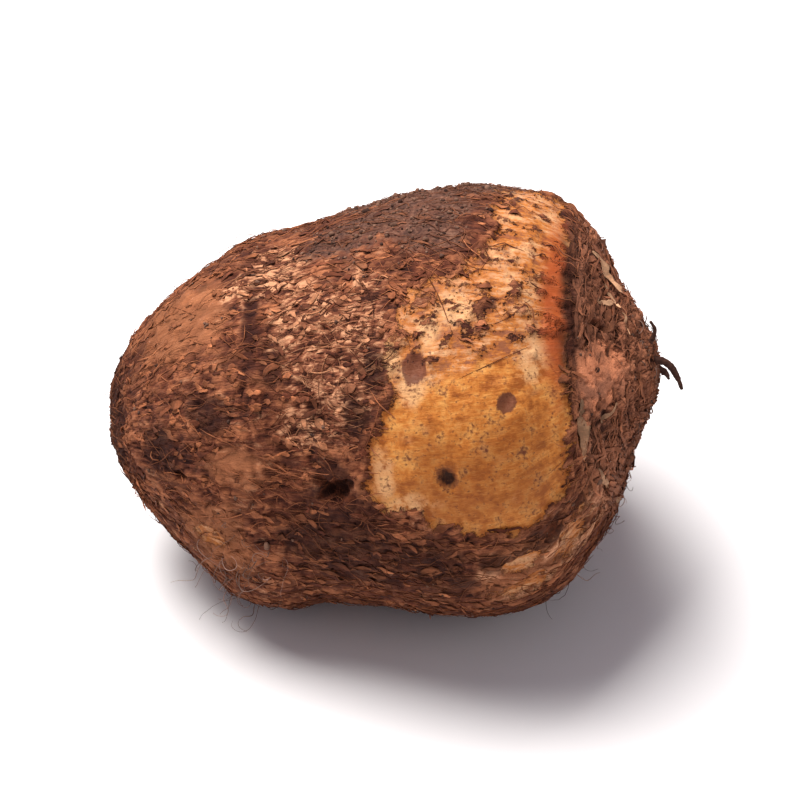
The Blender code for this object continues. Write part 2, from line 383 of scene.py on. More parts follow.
def barkRelief(station, angle, zone):
    # height of the skin over the plain corm, in millimetres. Bark: folded noise for ridges, random steps for
    # scales, smooth lumps, less thin cracks, soil clods, and a lip and groove at each growth ring. Bare skin:
    # a shallow swell with dents, set lower, with a curled rim. Pits are sunk in both.
    at = wrapped(station, angle)
    tilted = at.copy()
    tilted[..., 0] += steps["climb"] * wrapping["girth"] * np.sin(angle - steps["climbAngle"])
    high = {name: height for name, (height, size) in bumps.items()}
    near = {name: (tilted if np.ndim(size) else at) / size for name, (height, size) in bumps.items()}
    warp = 0.5 * softNoise(at / 3.1, 205)
    bent = warp[..., None]
    ridges = 1 - 2 * np.abs(layeredNoise(near["ridge"] + bent, 211))
    fine = 1 - 2 * np.abs(layeredNoise(near["fine"], 217, 2))
    nearest, second, own = cellNoise(near["scale"] + 0.6 * bent, 223)
    scales = own * smoothStep(0.02, 0.3, second - nearest) - 0.35
    nearest, second, own = cellNoise(near["smallScale"], 227)
    scales += high["smallScale"] * (own * smoothStep(0.05, 0.3, second - nearest) - 0.35)
    lumps = layeredNoise(near["lump"], 229)
    clods = np.maximum(layeredNoise(near["clod"], 233), 0)
    clods += high["smallClod"] * np.maximum(layeredNoise(near["smallClod"], 235, 2), 0)
    crack = 1 - smoothStep(0.03, 0.16, np.abs(softNoise(near["crack"] + 1.4 * bent, 231)))
    bark = high["ridge"] * ridges + high["fine"] * fine + high["lump"] * lumps - high["crack"] * crack
    bark += (high["scale"] + steps["fleckScale"] * zone["fleck"]) * scales
    bark = bark * (1 - 0.5 * zone["soil"]) + high["clod"] * zone["soil"] * clods
    wander = 1.3 * softNoise(at / 7.0, 239) + 0.5 * softNoise(at / 1.7, 241)
    broken = smoothStep(-0.25, 0.5, softNoise(at / 5.0, 243))
    for ring in marks["rings"]:
        past = station - ring - wander
        lip = steps["ringLip"] * np.exp(-(((past + 0.9) / 0.9) ** 2))
        bark += broken * (lip - steps["ringGroove"] * np.exp(-((past / 0.5) ** 2)))
    leaf = (station - steps["leafFrom"] + 0.4 * wander + 0.25 * fine) / steps["leafPitch"]
    bark += zone["crown"] * (1 - zone["nub"]) * (steps["leafScar"] * (leaf - np.floor(leaf)) ** 2 - 0.2)
    skin = high["bareSwell"] * layeredNoise(near["bareSwell"], 251)
    skin += bareGrain[0] * layeredNoise(at / bareGrain[1], 257)
    nearest, second, own = cellNoise(near["dent"], 255)
    skin -= high["dent"] * (own > 0.6) * (1 - smoothStep(0.1, 0.42, nearest))
    bare = smoothStep(-0.3, 0.4, zone["patch"])
    curl = np.exp(-(((zone["patch"] + 0.5) / 0.4) ** 2)) * (1 - zone["soil"])
    height = bark * (1 - bare) + (skin - steps["bareDepth"]) * bare + steps["rimCurl"] * curl
    for centre, degrees, radius, depth in pits:
        away = np.hypot(station - centre, turnsFrom(angle, degrees) * wrapping["girth"])
        away = away / radius * (1 + 0.4 * softNoise(at / 1.1, 263))
        height -= depth * (1 - smoothStep(0.3, 1.05, away))
        height += steps["pitLip"] * np.exp(-(((away - 1.15) / 0.2) ** 2))
    return height


def outward(points):
    # unit normals of a grid of points: the cross product of its two directions
    along = np.gradient(points, axis=0)
    around = np.roll(points, -1, axis=1) - np.roll(points, 1, axis=1)
    normal = np.cross(around, along)
    normal[0], normal[-1] = (-1, 0, -0.2), (1, 0, 0.2)
    return normal / np.linalg.norm(normal, axis=-1, keepdims=True)


zoneGrid = zones(gridStation, gridAngle)
tipFade = np.minimum(gridRadius / 3.5, 1.0)
reliefGrid = barkRelief(gridStation, gridAngle, zoneGrid) * tipFade
skinGrid = plainPoints + cormShift + outward(plainPoints) * reliefGrid[..., None]
skinGrid[..., 2] = np.maximum(skinGrid[..., 2], 0)
skinNormal = outward(skinGrid)
stationLine = smoothOutline(shareLine)[0]
print("skin shaped")


def readGrid(values, station, angle):
    # values of the skin's grid at any stations and angles, blended between the four nearest points
    row = np.interp(station, stationLine, np.arange(grid["along"]))
    column = (angle + np.pi) / (2 * np.pi) * grid["around"]
    top = np.clip(np.floor(row).astype(int), 0, grid["along"] - 2)
    left = np.floor(column).astype(int)
    down, over = row - top, column - left
    if values.ndim > 2:
        down, over = down[..., None], over[..., None]
    left, right = left % grid["around"], (left + 1) % grid["around"]
    upper = values[top, left] * (1 - over) + values[top, right] * over
    lower = values[top + 1, left] * (1 - over) + values[top + 1, right] * over
    return upper * (1 - down) + lower * down


def scatter(rng, count, likely):
    # random stations and angles, with a chance in proportion to area times likely(station, angle, zone)
    area = np.linalg.norm(np.cross(*np.gradient(skinGrid, axis=(0, 1))), axis=-1)
    chance = (area * likely(gridStation, gridAngle, zoneGrid)).ravel()
    picked = rng.choice(chance.size, count, p=chance / chance.sum())
    station = gridStation.ravel()[picked] + rng.uniform(-0.2, 0.2, count)
    angle = gridAngle.ravel()[picked] + rng.uniform(-0.012, 0.012, count)
    return np.clip(station, 0.3, 71.7), angle


def localZones(station, angle):
    # the zones at chosen places
    return {name: readGrid(values, station, angle) for name, values in zoneGrid.items()}


def less(zone, shares):
    # 1 where none of the named zones is, and less by each one's share where it is
    return np.prod([1 - share * zone[name] for name, share in shares.items()], axis=0)


def alongSkin(station, angle, length, heading, bend, rings):
    # paths that follow the skin: straight on the unrolled skin, turned by heading, bent sideways by a sine
    t = np.linspace(0, 1, rings)
    radius = np.maximum(readGrid(plainRadius, station, angle), 3.0)[:, None]
    forward = (t - 0.5) * length[:, None]
    sideways = bend[:, None] * np.sin(np.pi * t)
    ahead = forward * np.cos(heading)[:, None] - sideways * np.sin(heading)[:, None]
    across = forward * np.sin(heading)[:, None] + sideways * np.cos(heading)[:, None]
    steep = np.interp(station, stationLine, np.gradient(shareLine, stationLine))[:, None] * 100
    where = np.clip(station[:, None] + ahead / np.clip(steep, 1, 3), 0.2, 71.8)
    turn = angle[:, None] + across / radius
    return readGrid(skinGrid, where, turn), readGrid(skinNormal, where, turn), where, turn


def meshFrom(name, points, quads, triangles=None):
    # a mesh object from whole arrays of points in millimetres, quads and triangles
    triangles = np.zeros((0, 3), int) if triangles is None else triangles
    points[:, 2] = np.maximum(points[:, 2], 0)
    mesh = bpy.data.meshes.new(name)
    mesh.vertices.add(len(points))
    mesh.vertices.foreach_set("co", (points * mm).astype(np.float32).ravel())
    mesh.loops.add(quads.size + triangles.size)
    corners = np.concatenate([quads.ravel(), triangles.ravel()])
    mesh.loops.foreach_set("vertex_index", corners.astype(np.int32))
    mesh.polygons.add(len(quads) + len(triangles))
    starts = np.concatenate([np.arange(len(quads)) * 4, quads.size + np.arange(len(triangles)) * 3])
    mesh.polygons.foreach_set("loop_start", starts.astype(np.int32))
    mesh.update(calc_edges=True)
    mesh.shade_smooth()
    piece = bpy.data.objects.new(name, mesh)
    bpy.context.scene.collection.objects.link(piece)
    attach(piece, "root")
    return piece


def keepNumbers(piece, name, values):
    # a number, or three, for each point of a piece, which its material reads by name
    kind = "FLOAT_VECTOR" if values.ndim > 1 else "FLOAT"
    slot = piece.data.attributes.new(name, kind, "POINT")
    slot.data.foreach_set("vector" if values.ndim > 1 else "value", values.astype(np.float32).ravel())


def tubeFaces(rings, sides):
    # faces of rings of points with one more point at each end: quads between the rings, triangles at the ends
    index = np.arange(rings * sides).reshape(rings, sides)
    turned = np.roll(index, -1, axis=1)
    quads = np.stack([index[:-1], index[1:], turned[1:], turned[:-1]], axis=-1).reshape(-1, 4)
    first = np.stack([np.full(sides, rings * sides), index[0], turned[0]], axis=-1)
    last = np.stack([np.full(sides, rings * sides + 1), turned[-1], index[-1]], axis=-1)
    return quads, np.vstack([first, last])


def repeatedFaces(faces, count, points):
    # the same faces for each of a number of equal shapes that have that many points
    offset = (np.arange(count) * points)[:, None, None]
    return (faces + offset).reshape(-1, faces.shape[-1])


def makeSkin():
    # rings of points round the axis joined by quads, with a fan of triangles at the root tip and at the nub
    points = np.vstack([skinGrid[1:-1].reshape(-1, 3), skinGrid[0].mean(axis=0), skinGrid[-1].mean(axis=0)])
    quads, fans = tubeFaces(grid["along"] - 2, grid["around"])
    piece = meshFrom("cormSkin", points, np.roll(quads, -1, axis=1), fans)

    def inOrder(values):
        # grid values in the order of the points
        return np.concatenate([values[1:-1].reshape(-1, *values.shape[2:]), values[0, :1], values[-1, :1]])

    for name, values in zoneGrid.items():
        keepNumbers(piece, name, inOrder(values))
    # the relief goes to the material too, which paints light on high places and shade in low ones with it
    keepNumbers(piece, "relief", inOrder(reliefGrid))
    keepNumbers(piece, "wrap", inOrder(wrapped(gridStation, gridAngle)))
    return piece


def addNode(tree, kind, inputs=None, **settings):
    # a shader node with its settings, and its inputs set to values or linked to other nodes' outputs
    node = tree.nodes.new(kind)
    for name, value in settings.items():
        setattr(node, name, value)
    for name, value in (inputs or {}).items():
        socket = node.inputs[name]
        if isinstance(value, bpy.types.NodeSocket):
            tree.links.new(value, socket)
        elif socket.type == "RGBA":
            socket.default_value = (*value[:3], 1)
        else:
            socket.default_value = value
    return node


def sums(tree, operation, first, second, clamp=False):
    # one number worked out from two
    node = addNode(tree, "ShaderNodeMath", {0: first, 1: second}, operation=operation, use_clamp=clamp)
    return node.outputs[0]


def blendTones(tree, share, first, second, way="MIX"):
    # two colours mixed by a share
    node = addNode(tree, "ShaderNodeMix", data_type="RGBA", blend_type=way)
    for socket, value in ((node.inputs[0], share), (node.inputs[6], first), (node.inputs[7], second)):
        if isinstance(value, bpy.types.NodeSocket):
            tree.links.new(value, socket)
        else:
            socket.default_value = value if socket == node.inputs[0] else (*value[:3], 1)
    return node.outputs[2]


def ramp(tree, value, stops):
    # a number turned into a colour by stops of place and the name of a tone
    node = addNode(tree, "ShaderNodeValToRGB", {"Fac": value})
    strip = node.color_ramp
    strip.interpolation = "LINEAR"
    while len(strip.elements) < len(stops):
        strip.elements.new(0.5)
    for element, (place, name) in zip(strip.elements, stops):
        element.position = place
        element.color = (*barkTone[name], 1)
    return node.outputs["Color"]


def fadeIn(tree, value, low, high):
    # 0 below low and 1 above high, smoothly
    inputs = {"Value": value, "From Min": low, "From Max": high}
    return addNode(tree, "ShaderNodeMapRange", inputs, interpolation_type="SMOOTHSTEP").outputs["Result"]


def grainAt(tree, vector, scales, detail, roughness):
    # noise on coordinates that are first scaled along each of their three directions
    scaled = addNode(tree, "ShaderNodeVectorMath", {0: vector, 1: scales}, operation="MULTIPLY").outputs[0]
    inputs = {"Vector": scaled, "Scale": 1.0, "Detail": detail, "Roughness": roughness}
    return addNode(tree, "ShaderNodeTexNoise", inputs, noise_type="FBM").outputs[0]


def weigh(tree, number, weights):
    # a sum of named numbers, each times its weight
    total = 0.0
    for name, weight in weights.items():
        total = sums(tree, "ADD", sums(tree, "MULTIPLY", number[name], weight), total)
    return total


def layTones(tree, colour, layers, share, tone):
    # tones laid over a colour one after another, each by the share of it that shows times its strength
    for where, strength, name in layers:
        colour = blendTones(tree, sums(tree, "MULTIPLY", share[where], strength), colour, tone[name])
    return colour


def raiseBump(tree, shader, height, strength, distance):
    # a fine relief that only the light sees
    bump = addNode(tree, "ShaderNodeBump", {"Strength": strength, "Distance": distance, "Height": height})
    tree.links.new(bump.outputs["Normal"], shader.inputs["Normal"])


def newMaterial(name, specular):
    # a material, its node tree and its shader
    material = bpy.data.materials.new(name)
    material.use_nodes = True
    shader = material.node_tree.nodes["Principled BSDF"]
    shader.inputs["Specular IOR Level"].default_value = specular
    return material, material.node_tree, shader


barkTones = {
    "dark": (44, 22, 19), "mid": (100, 54, 38), "light": (168, 104, 70),
    "fleckDark": (54, 28, 22), "fleckMid": (126, 74, 52), "fleckLight": (210, 152, 114),
    "ochre": (170, 108, 72), "soilDark": (50, 34, 31), "soil": (90, 63, 53), "soilPale": (128, 96, 80),
    "core": (190, 114, 48), "coreDeep": (148, 80, 30), "corePale": (216, 150, 78), "coreTop": (204, 148, 106),
    "cream": (228, 180, 130), "disc": (94, 50, 38), "speck": (104, 54, 32), "stripe": (158, 72, 34),
    "scar": (60, 28, 18), "nub": (232, 148, 106), "crown": (172, 112, 84), "crownDark": (74, 44, 34),
    # pit is near black: painted shade for the bottoms of the holes
    "pit": (42, 20, 15), "sheath": (206, 158, 122), "rootlet": (70, 46, 38), "looseHair": (116, 92, 82),
}  # display values of 0 to 255
barkTone = {name: fromDisplay(*value) for name, value in barkTones.items()}
skinNoises = {
    "streak": ((0.30, 0.95, 0.95), 4, 0.60),
    "thin": ((0.75, 3.4, 3.4), 3, 0.60),
    "hair": ((1.2, 9.0, 9.0), 2, 0.50),
    "flake": ((0.48, 1.25, 1.25), 4, 0.66),
}  # noises wrapped on the skin: how often per millimetre along and across, detail, roughness
bodyNoises = {
    "grain": ((2200, 2200, 2200), 3, 0.60),
    "cloud": ((260, 260, 260), 3, 0.55),
    "broad": ((150, 150, 150), 3, 0.60),
    "blotch": ((420, 420, 420), 4, 0.62),
}  # noises through the body: how often per metre, detail, roughness
# relief in these sums lightens the bark where it stands high and darkens it where it lies low: painted light on
# its ridges and painted shade in its hollows, over its own tones
barkRamps = {
    "fibres": (
        {"streak": 0.45, "thin": 0.25, "grain": 0.14, "cloud": 0.22, "relief": 0.34},
        ((0.40, "dark"), (0.525, "mid"), (0.68, "light")),
    ),
    "flecks": (
        {"flake": 1.0, "relief": 0.30},
        ((0.38, "fleckDark"), (0.50, "fleckMid"), (0.63, "fleckLight")),
    ),
    "dirt": ({"grain": 0.7, "cloud": 0.3}, ((0.36, "soilDark"), (0.52, "soil"), (0.68, "soilPale"))),
    "flesh": (
        {"blotch": 0.62, "streak": 0.24, "thin": 0.14},
        ((0.41, "coreDeep"), (0.485, "core"), (0.58, "corePale")),
    ),
    "wornSkin": (
        {"flake": 0.5, "cloud": 0.35, "grain": 0.15},
        ((0.43, "fleckMid"), (0.49, "core"), (0.54, "coreTop"), (0.61, "cream")),
    ),
}  # weights of the numbers that are summed, and the tones along that sum
barkEdges = {
    "gloom": ({"broad": 1.0}, 0.55, 0.40),
    "flecks": ({"fleck": 1.0, "flake": 0.9, "broad": 1.3}, 1.2, 1.75),
    "chips": ({"flake": 1.0}, 0.42, 0.56),
    "darkPlaces": ({"dark": 1.0, "flake": -0.9}, -0.35, 0.55),
    # the crown's share reuses the fibres' sum, relief included, so the crown too is painted lighter on its
    # ridges and darker in its hollows
    "crownLight": (barkRamps["fibres"][0], 0.42, 0.62),
    "soiled": ({"soil": 1.0, "grain": 0.7, "cloud": 0.9}, 0.95, 1.6),
    "nubLight": ({"cloud": 1.0}, 0.36, 0.56),
    "hairs": ({"hair": 1.0}, 0.54, 0.72),
    "rim": ({"patch": 1.0, "blotch": 2.4}, 2.6, 1.2),
    "creamSpots": ({"blotch": 1.0}, 0.36, 0.52),
    "eye": ({"disc": 1.0, "blotch": 1.2, "grain": 0.8}, 1.02, 1.36),
    "eyeMiddle": ({"disc": 1.0, "blotch": 1.2, "grain": 0.8}, 1.75, 2.0),
    "specks": ({"grain": 0.7, "thin": 0.3}, 0.56, 0.63),
    "bare": ({"patch": 1.0, "flake": 1.5, "grain": 1.8, "blotch": 1.6}, 2.25, 2.67),
    "scarred": ({"station": 1.0, "cloud": 1.5}, 63.05, 64.15),
    # the next two darken the pits: the first browns them, partly their own colour and partly painted shade; the
    # second is painted shade, near black, in their bottoms
    "sunk": ({"pit": 1.0, "grain": 0.9, "blotch": 1.2}, 1.19, 1.47),
    "pitShade": ({"pit": 1.0, "grain": 0.9, "blotch": 1.2}, 1.45, 2.0),
}  # where each thing shows: weights of the numbers summed, and the sums at which it starts and is full
barkLayers = (
    ("gloom", 0.45, "dark"), ("ochre", 0.555, "ochre"), ("flecks", 0.9, "flecks"),
    ("paleChips", 1.0, "fleckLight"), ("darkPlaces", 0.82, "dark"), ("crown", 0.62, "crownFibre"),
    ("soiled", 0.85, "dirt"), ("nub", 0.9, "nubSkin"),
)  # laid over the fibres in turn: where, strength, tone
fleshLayers = (
    ("deep", 0.5, "coreDeep"), ("hairs", 0.35, "corePale"), ("worn", 0.9, "wornSkin"),
    ("rim", 0.45, "coreDeep"), ("creamPlaces", 0.6, "cream"), ("eye", 0.9, "disc"),
    ("eyeMiddle", 0.22, "crown"), ("specks", 0.5, "speck"),
)  # laid over the bare flesh
lastLayers = (
    # the underside's layer is partly its own darker skin and partly painted shade
    ("bare", 1.0, "bareSkin"), ("scar", 1.0, "scarSkin"), ("under", 0.35, "dark"),
    # the pits' brown is partly painted shade, and their near-black bottoms are painted shade
    ("sunk", 0.65, "speck"), ("pitShade", 0.92, "pit"),
)  # laid over all the bark
barkFinish = {
    "roughness": 0.805,
    "roughnessWeights": {"bare": -0.36, "grain": 0.25},
    "specular": 0.15,
    "bumpWeights": {"thin": 0.55, "grain": 0.30, "hair": 0.25},
    "bareQuiet": 0.68,  # how much smoother the bare skin is
    "bareSink": 0.25,
    "bumpDistance": 0.00042,  # metres
}


def barkMaterial():
    # sums of noises and of the skin's own numbers are made shares and ramps, whose tones are laid over one
    # another: brown bark with flecks and soil, then the bare patch, the scar, the darker underside, which is
    # partly painted shade, and the pits, which are partly painted shade
    material, tree, shader = newMaterial("taroBark", barkFinish["specular"])
    wrap = addNode(tree, "ShaderNodeAttribute", attribute_name="wrap").outputs["Vector"]
    place = addNode(tree, "ShaderNodeTexCoord").outputs["Object"]
    number = {name: addNode(tree, "ShaderNodeAttribute", attribute_name=name).outputs["Fac"]
              for name in (*zoneGrid, "relief")}
    number["station"] = addNode(tree, "ShaderNodeSeparateXYZ", {"Vector": wrap}).outputs["X"]
    for vector, noises in ((wrap, skinNoises), (place, bodyNoises)):
        number.update({name: grainAt(tree, vector, *row) for name, row in noises.items()})
    share = dict(number)
    for name, (weights, low, high) in barkEdges.items():
        share[name] = fadeIn(tree, weigh(tree, number, weights), low, high)
    share["paleChips"] = sums(tree, "MULTIPLY", number["pale"], share["chips"])
    share["creamPlaces"] = sums(tree, "MULTIPLY", number["cream"], share["creamSpots"])
    uneven = sums(tree, "ADD", weigh(tree, number, {"cloud": 0.6}), 0.6)
    share["scar"] = sums(tree, "MULTIPLY", number["stripe"], uneven, True)

    tone = dict(barkTone)
    for name, (weights, stops) in barkRamps.items():
        tone[name] = ramp(tree, weigh(tree, number, weights), stops)
    for name, where, first, second in (("crownFibre", "crownLight", "crownDark", "crown"),
                                       ("nubSkin", "nubLight", "crown", "nub"),
                                       ("scarSkin", "scarred", "stripe", "scar")):
        tone[name] = blendTones(tree, share[where], tone[first], tone[second])
    tone["bareSkin"] = layTones(tree, tone["flesh"], fleshLayers, share, tone)
    bark = layTones(tree, tone["fibres"], barkLayers, share, tone)
    tree.links.new(layTones(tree, bark, lastLayers, share, tone), shader.inputs["Base Color"])

    rough = weigh(tree, share, barkFinish["roughnessWeights"])
    rough = sums(tree, "ADD", rough, barkFinish["roughness"], True)
    tree.links.new(rough, shader.inputs["Roughness"])
    quiet = sums(tree, "SUBTRACT", 1.0, sums(tree, "MULTIPLY", share["bare"], barkFinish["bareQuiet"]))
    rise = sums(tree, "MULTIPLY", weigh(tree, number, barkFinish["bumpWeights"]), quiet)
    rise = sums(tree, "SUBTRACT", rise, sums(tree, "MULTIPLY", share["bare"], barkFinish["bareSink"]))
    raiseBump(tree, shader, rise, 1.0, barkFinish["bumpDistance"])
    return material


leastHeight = 0.14  # of a strip's middle over the floor


def ribbons(name, centre, normal, halfWidth, halfThick, sides, cup=0.0):
    # closed strips and strands: an oval section carried along each path, closed to a point at both ends
    # centre and normal are (strips, rings, 3); halfWidth and halfThick are (strips, rings)
    strips, rings = centre.shape[:2]
    centre = np.concatenate([centre[..., :2], np.maximum(centre[..., 2:], leastHeight)], axis=-1)
    tangent = np.gradient(centre, axis=1)
    side = np.cross(tangent, normal)
    side /= np.linalg.norm(side, axis=-1, keepdims=True) + 1e-9
    lift = np.cross(side, tangent)
    lift /= np.linalg.norm(lift, axis=-1, keepdims=True) + 1e-9
    turn = np.arange(sides) * 2 * np.pi / sides
    wide = halfWidth[..., None] * np.cos(turn)
    high = halfThick[..., None] * np.sin(turn) + cup * halfWidth[..., None] * np.cos(turn) ** 2
    points = centre[:, :, None] + wide[..., None] * side[:, :, None] + high[..., None] * lift[:, :, None]
    ends = centre[:, [0, -1]] * 1.3 - centre[:, [1, -2]] * 0.3
    points = np.concatenate([points.reshape(strips, -1, 3), ends], axis=1)
    quads, ends = (repeatedFaces(faces, strips, points.shape[1]) for faces in tubeFaces(rings, sides))
    return meshFrom(name, points.reshape(-1, 3), quads, ends)


def perPoint(piece, values, strips):
    # one number or colour for each strip, repeated for all its points
    return np.repeat(values, len(piece.data.vertices) // strips, axis=0)


def fadedTones(rng, colour, rings, sides, rootShare):
    # a colour for each point of each strip: darker at its root, lighter at its free end, uneven between
    t = np.linspace(0, 1, rings)
    level = rootShare + (1 - rootShare) * 1.15 * t**0.8
    level = level * rng.uniform(0.8, 1.2, (len(colour), rings))
    level = np.concatenate([np.repeat(level, sides, axis=1), level[:, :1], level[:, -1:]], axis=1)
    return (colour[:, None] * level[..., None]).reshape(-1, 3)


# the underside's zone darkens the strips there too: partly their darker skin, partly painted shade
looseMixes = (
    ("fleck", 0.8, "flecks"), ("ochre", 0.5, "ochre"), ("soil", 0.7, "soil"),
    ("dark", 0.6, "dark"), ("crown", 0.7, "dullCrown"), ("under", 0.4, "dark"),
)  # zone, strength, tone


def looseTone(rng, zone, spread=0.5):
    # a strip's colour: its zone's tones mixed in turn, then made lighter or darker at random
    tone = dict(barkTone)
    count = len(zone["fleck"])
    share = np.clip(rng.normal(0.5, spread, count), 0, 1)[:, None]
    colour = tone["mid"] * (1 - share) + tone["light"] * share
    bright = tone["fleckMid"] * (1 - share) + tone["fleckLight"] * share
    tone["flecks"] = np.where(rng.random((count, 1)) < 0.42, tone["fleckDark"] * 1.5, bright)
    tone["dullCrown"] = tone["crown"] * 0.8
    for name, strength, other in looseMixes:
        amount = (zone[name] * strength)[:, None] * rng.uniform(0.6, 1.0, (count, 1))
        colour = colour * (1 - amount) + tone[other] * amount
    return colour * rng.uniform(0.72, 1.1, (count, 1))


stripFinish = {
    "specular": 0.12,
    "grain": ((1900, 3600, 3600), 3, 0.6),
    "cloud": ((600, 600, 600), 2, 0.5),
    "light": (1.5, 1.4, 1.3), "dark": (0.55, 0.48, 0.45),  # what the tone is multiplied by
}


def stripMaterial(name, roughness, streaks, distance):
    # the strip's own colour, made lighter by a fine grain along it and darker by a broader noise
    material, tree, shader = newMaterial(name, stripFinish["specular"])
    own = addNode(tree, "ShaderNodeAttribute", attribute_name="tone").outputs["Color"]
    place = addNode(tree, "ShaderNodeTexCoord").outputs["Object"]
    grain, cloud = (grainAt(tree, place, *stripFinish[key]) for key in ("grain", "cloud"))
    lighter = blendTones(tree, fadeIn(tree, grain, 0.45, 0.75), own, stripFinish["light"], "MULTIPLY")
    share = sums(tree, "MULTIPLY", fadeIn(tree, cloud, 0.45, 0.65), streaks)
    darker = blendTones(tree, share, lighter, stripFinish["dark"], "MULTIPLY")
    tree.links.new(darker, shader.inputs["Base Color"])
    rough = sums(tree, "ADD", roughness - 0.1, sums(tree, "MULTIPLY", grain, 0.2), True)
    tree.links.new(rough, shader.inputs["Roughness"])
    raiseBump(tree, shader, grain, 0.8, distance)
    return material


skin = makeSkin()
skin.data.materials.append(barkMaterial())
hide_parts("taro_corm")
print("skin made")


barkScales = {
    "count": 2500, "seed": 31, "rings": 5, "sides": 6,
    "length": 1.7, "halfWidth": 0.28, "thick": 0.04, "lift": 0.09, "cup": 0.12,
    "heading": (0.12, 0.3),  # radians from the axis: mean and spread
    "fewer": {"crown": 0.93, "stripe": 0.9, "soil": 0.6, "ochre": 0.6},  # zones that have fewer
    "floorGap": 0.8,
}


def makeScales():
    # flakes of bark lying along the corm: thin leaf-shaped strips, whose crown-side ends stand up a little
    rng = np.random.default_rng(barkScales["seed"])
    count, rings, sides = (barkScales[key] for key in ("count", "rings", "sides"))

    def likely(station, angle, zone):
        # on bark only, clear of the floor and the root tip
        onBark = (zone["patch"] < -0.15) * (zone["pit"] < 0.2) * (zone["nub"] < 0.2)
        clear = (skinGrid[..., 2] > barkScales["floorGap"]) * (station > 2)
        return onBark * clear * (1 + 0.7 * zone["fleck"]) * less(zone, barkScales["fewer"])

    station, angle = scatter(rng, count, likely)
    zone = localZones(station, angle)
    length = barkScales["length"] * rng.lognormal(0, 0.35, count)
    heading = rng.normal(*barkScales["heading"], count) + zone["fleck"] * rng.normal(0, 0.5, count)
    centre, normal, _, _ = alongSkin(station, angle, length, heading, rng.normal(0, 0.25, count), rings)
    t = np.linspace(0, 1, rings)
    rise = barkScales["lift"] * rng.lognormal(0, 0.8, count)[:, None] * (0.15 + t**2)
    centre = centre + normal * (rise - 0.02)[..., None]
    leaf = np.sin(np.pi * (0.08 + 0.84 * t)) ** 0.7 * (1 + 0.38 * rng.normal(size=(count, rings)))
    halfWidth = barkScales["halfWidth"] * rng.lognormal(0, 0.3, count)[:, None] * np.clip(leaf, 0.15, 2)
    halfThick = np.full((count, rings), barkScales["thick"]) * np.clip(leaf, 0.4, 1)
    piece = ribbons("barkScales", centre, normal, halfWidth, halfThick, sides, barkScales["cup"])
    keepNumbers(piece, "tone", fadedTones(rng, looseTone(rng, zone), rings, sides, 0.62))
    piece.data.materials.append(stripMaterial("barkFlake", 0.9, 0.6, 0.00012))


makeScales()
print("bark scales made")

barkFibres = {
    "count": 4200, "seed": 47, "rings": 7, "sides": 3,
    "length": 4.2, "radius": 0.065,
    "heading": (0.15, 0.42),  # radians from the axis: mean and spread
    "strays": 0.08,  # share of them that lie across
    "circling": 0.75,  # share of those on the crown that go round it
    "loose": 0.03,  # share of them that stand up at one end
    "fewer": {"nub": 0.85, "stripe": 0.7, "ochre": 0.4},  # zones that have fewer
    "floorGap": 0.6,
}


def makeFibres():
    # matted fibres of the bark: thin tapering strands along the corm, each waving up off the skin and back
    rng = np.random.default_rng(barkFibres["seed"])
    count, rings = barkFibres["count"], barkFibres["rings"]

    def likely(station, angle, zone):
        # on bark, with a few strays on the patch, and more on the crown and the dark places
        onBark = (0.012 + (zone["patch"] < 0)) * (zone["pit"] < 0.3)
        more = (1 + 0.5 * zone["crown"] + 0.4 * zone["dark"]) * (skinGrid[..., 2] > barkFibres["floorGap"])
        return onBark * more * less(zone, barkFibres["fewer"])

    station, angle = scatter(rng, count, likely)
    zone = localZones(station, angle)
    length = barkFibres["length"] * rng.lognormal(0, 0.4, count)
    heading = rng.normal(*barkFibres["heading"], count)
    heading = heading + (rng.random(count) < barkFibres["strays"]) * rng.uniform(-1.5, 1.5, count)
    heading = heading + (zone["crown"] > 0.5) * (rng.random(count) < barkFibres["circling"]) * np.pi / 2
    centre, normal, _, _ = alongSkin(station, angle, length, heading, rng.normal(0, 0.6, count), rings)
    t = np.linspace(0, 1, rings)
    wave = np.sin(np.pi * t * rng.uniform(0.8, 3.0, (count, 1)) + rng.uniform(0, 6, (count, 1)))
    rise = 0.06 + 0.14 * rng.lognormal(0, 0.7, count)[:, None] * np.maximum(wave, -0.3)
    loose = (rng.random(count) < barkFibres["loose"])[:, None]
    rise = rise + loose * 0.9 * t**2 * rng.random((count, 1))
    centre = centre + normal * rise[..., None]
    taper = 1 - 0.65 * np.abs(2 * t - 1) ** 2
    halfWidth = barkFibres["radius"] * rng.lognormal(0, 0.35, count)[:, None] * taper
    piece = ribbons("barkFibres", centre, normal, halfWidth, halfWidth * 0.75, barkFibres["sides"])
    keepNumbers(piece, "tone", perPoint(piece, looseTone(rng, zone, 0.6) * 0.9, count))
    piece.data.materials.append(stripMaterial("barkFibre", 0.85, 0.4, 0.00005))


makeFibres()
print("bark fibres made")

soilCrumbs = {"count": 1500, "seed": 59, "radius": 0.16, "rings": 3, "sides": 6, "floorGap": 0.8}


